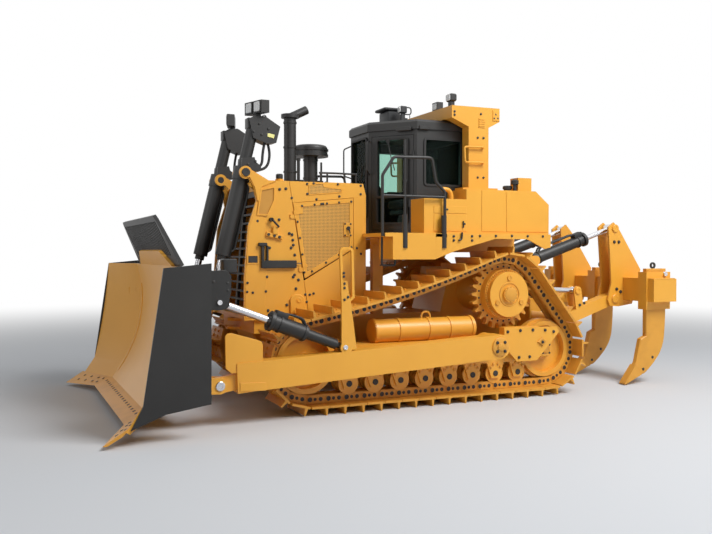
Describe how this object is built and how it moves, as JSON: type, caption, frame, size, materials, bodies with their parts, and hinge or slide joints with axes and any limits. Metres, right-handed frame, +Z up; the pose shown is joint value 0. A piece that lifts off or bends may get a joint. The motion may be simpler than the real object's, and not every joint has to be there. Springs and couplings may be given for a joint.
{
  "type": "crawler bulldozer",
  "caption": "Large crawler bulldozer with high-drive tracks, a semi-U blade on push arms, a six-sided cab under a roll-over frame and a rear ripper.",
  "frame": {"origin": "on the ground under the middle of the machine's length and width", "axes": "+X forward towards the blade, +Y to the machine's left, +Z up"},
  "size_m": [8.236, 4.31, 3.98],
  "materials": {
    "yellow_paint": "satin",
    "black_paint": "satin",
    "glass": "clear",
    "chrome": "polished",
    "track_steel": "painted",
    "seat_cloth": "woven",
    "plastic": "matte",
    "cast_iron": "cast"
  },
  "bodies": {
    "machine": {"main_frame": "yellow_paint", "radiator_guard": "yellow_paint", "engine_enclosure": "yellow_paint", "fenders": "yellow_paint", "rops_frame": "yellow_paint", "side_tanks": "yellow_paint", "fuel_tank": "yellow_paint", "roller_frames": "yellow_paint", "track_rollers": "yellow_paint", "idlers": "yellow_paint", "final_drives": "yellow_paint", "ripper_forks": "yellow_paint", "ripper_mounts": "yellow_paint", "radiator_grille": "black_paint", "exhaust_stack": "black_paint", "precleaner": "black_paint", "cab_shell": "black_paint", "cab_roof": "black_paint", "handrails": "black_paint", "cab_glass": "glass", "sprockets": "track_steel", "track_left": "track_steel", "track_right": "track_steel", "operator_seat": "seat_cloth", "control_console": "plastic", "work_lamps": "plastic", "engine_block": "cast_iron"},
    "push_arms": {"push_arms": "yellow_paint"},
    "blade": {"moldboard": "yellow_paint", "lift_lugs": "yellow_paint", "cutting_edges": "track_steel", "blade_side_plates": "black_paint", "rock_guard": "black_paint"},
    "lift_barrels": {"lift_barrels": "black_paint"},
    "lift_rod_left": {"lift_rod_left": "chrome"},
    "lift_rod_right": {"lift_rod_right": "chrome"},
    "tilt_barrels": {"tilt_barrels": "black_paint"},
    "tilt_rods": {"tilt_rods": "chrome"},
    "ripper_link": {"ripper_link": "yellow_paint"},
    "ripper_shaft": {"ripper_pins": "track_steel"},
    "ripper_beam": {"ripper_beam": "yellow_paint", "ripper_shanks": "yellow_paint", "ripper_points": "track_steel"},
    "ripper_tilt_barrels": {"ripper_tilt_barrels": "black_paint"},
    "ripper_tilt_rods": {"ripper_tilt_rods": "chrome"},
    "ripper_lift_barrels": {"ripper_lift_barrels": "black_paint"},
    "ripper_lift_rods": {"ripper_lift_rods": "chrome"},
    "cab_door_left": {"cab_door_left": "black_paint", "door_glass_left": "glass"},
    "cab_door_right": {"cab_door_right": "black_paint", "door_glass_right": "glass"},
    "engine_door_left": {"engine_door_left": "yellow_paint"},
    "engine_door_right": {"engine_door_right": "yellow_paint"}
  },
  "joints": [
    {"name": "blade_lift", "type": "hinge", "parent": "machine", "child": "push_arms", "pos_m": [-0.81, 0, 0.73], "axis": [0, -1, 0], "range_deg": [-7, 17]},
    {"name": "blade_pitch", "type": "hinge", "parent": "push_arms", "child": "blade", "pos_m": [2.816, 0, 0.469], "axis": [0, -1, 0], "range_deg": [-5, 5]},
    {"name": "lift_barrel_swing", "type": "hinge", "parent": "machine", "child": "lift_barrels", "pos_m": [2.263, 0, 2.902], "axis": [0, -1, 0], "range_deg": [-3, 6.2]},
    {"name": "lift_rod_left_slide", "type": "slide", "parent": "lift_barrels", "child": "lift_rod_left", "axis": [0.2361, 0, -0.9717], "range_m": [-1.07, 0.45]},
    {"name": "lift_rod_right_slide", "type": "slide", "parent": "lift_barrels", "child": "lift_rod_right", "axis": [0.2361, 0, -0.9717], "range_m": [-1.07, 0.45]},
    {"name": "tilt_barrel_swing", "type": "hinge", "parent": "push_arms", "child": "tilt_barrels", "pos_m": [1.331, 0, 0.824], "axis": [0, -1, 0], "range_deg": [-1.2, 1.2]},
    {"name": "tilt_rod_slide", "type": "slide", "parent": "tilt_barrels", "child": "tilt_rods", "axis": [0.9361, 0, 0.3517], "range_m": [-0.08, 0.08]},
    {"name": "ripper_lift", "type": "hinge", "parent": "machine", "child": "ripper_link", "pos_m": [-2.081, 0, 0.747], "axis": [0, 1, 0], "range_deg": [-25, 33]},
    {"name": "ripper_level", "type": "hinge", "parent": "ripper_link", "child": "ripper_shaft", "pos_m": [-3.53, 0, 1.226], "axis": [0, 1, 0], "range_deg": [-34, 26]},
    {"name": "ripper_pitch", "type": "hinge", "parent": "ripper_shaft", "child": "ripper_beam", "pos_m": [-3.53, 0, 1.226], "axis": [0, 1, 0], "range_deg": [-10, 15]},
    {"name": "ripper_tilt_barrel_swing", "type": "hinge", "parent": "machine", "child": "ripper_tilt_barrels", "pos_m": [-2.074, 0, 1.811], "axis": [0, 1, 0], "range_deg": [-26, 34]},
    {"name": "ripper_tilt_rod_slide", "type": "slide", "parent": "ripper_tilt_barrels", "child": "ripper_tilt_rods", "axis": [-0.9495, 0, 0.3139], "range_m": [-0.28, 0.19]},
    {"name": "ripper_lift_barrel_swing", "type": "hinge", "parent": "machine", "child": "ripper_lift_barrels", "pos_m": [-1.6, 0, 1.43], "axis": [0, 1, 0], "range_deg": [-16, 21]},
    {"name": "ripper_lift_rod_slide", "type": "slide", "parent": "ripper_lift_barrels", "child": "ripper_lift_rods", "axis": [-0.9984, 0, -0.0557], "range_m": [-0.4, 0.31]},
    {"name": "cab_door_left_swing", "type": "hinge", "parent": "machine", "child": "cab_door_left", "pos_m": [-0.00192, 0.81346, 2.8], "axis": [0, 0, 1], "range_deg": [0, 90]},
    {"name": "cab_door_right_swing", "type": "hinge", "parent": "machine", "child": "cab_door_right", "pos_m": [-0.00192, -0.81346, 2.8], "axis": [0, 0, -1], "range_deg": [0, 90]},
    {"name": "engine_door_left_swing", "type": "hinge", "parent": "machine", "child": "engine_door_left", "pos_m": [1.505, 0.77, 1.602], "axis": [-0.1697, 0, -0.9855], "range_deg": [0, 100]},
    {"name": "engine_door_right_swing", "type": "hinge", "parent": "machine", "child": "engine_door_right", "pos_m": [1.505, -0.77, 1.602], "axis": [0.1697, 0, 0.9855], "range_deg": [0, 100]}
  ],
  "couplings": [
    {"joint": "lift_barrel_swing", "follows": "blade_lift", "ratio": 0.33},
    {"joint": "lift_rod_left_slide", "follows": "blade_lift", "m_per_rad": -3.53},
    {"joint": "lift_rod_right_slide", "follows": "blade_lift", "m_per_rad": -3.53},
    {"joint": "tilt_barrel_swing", "follows": "blade_pitch", "ratio": 0.196},
    {"joint": "tilt_rod_slide", "follows": "blade_pitch", "m_per_rad": -0.85},
    {"joint": "ripper_level", "follows": "ripper_lift", "ratio": -1},
    {"joint": "ripper_tilt_barrel_swing", "follows": "ripper_lift", "ratio": 1},
    {"joint": "ripper_tilt_rod_slide", "follows": "ripper_pitch", "m_per_rad": -1.01},
    {"joint": "ripper_lift_barrel_swing", "follows": "ripper_lift", "ratio": 0.61},
    {"joint": "ripper_lift_rod_slide", "follows": "ripper_lift", "m_per_rad": -0.67}
  ]
}
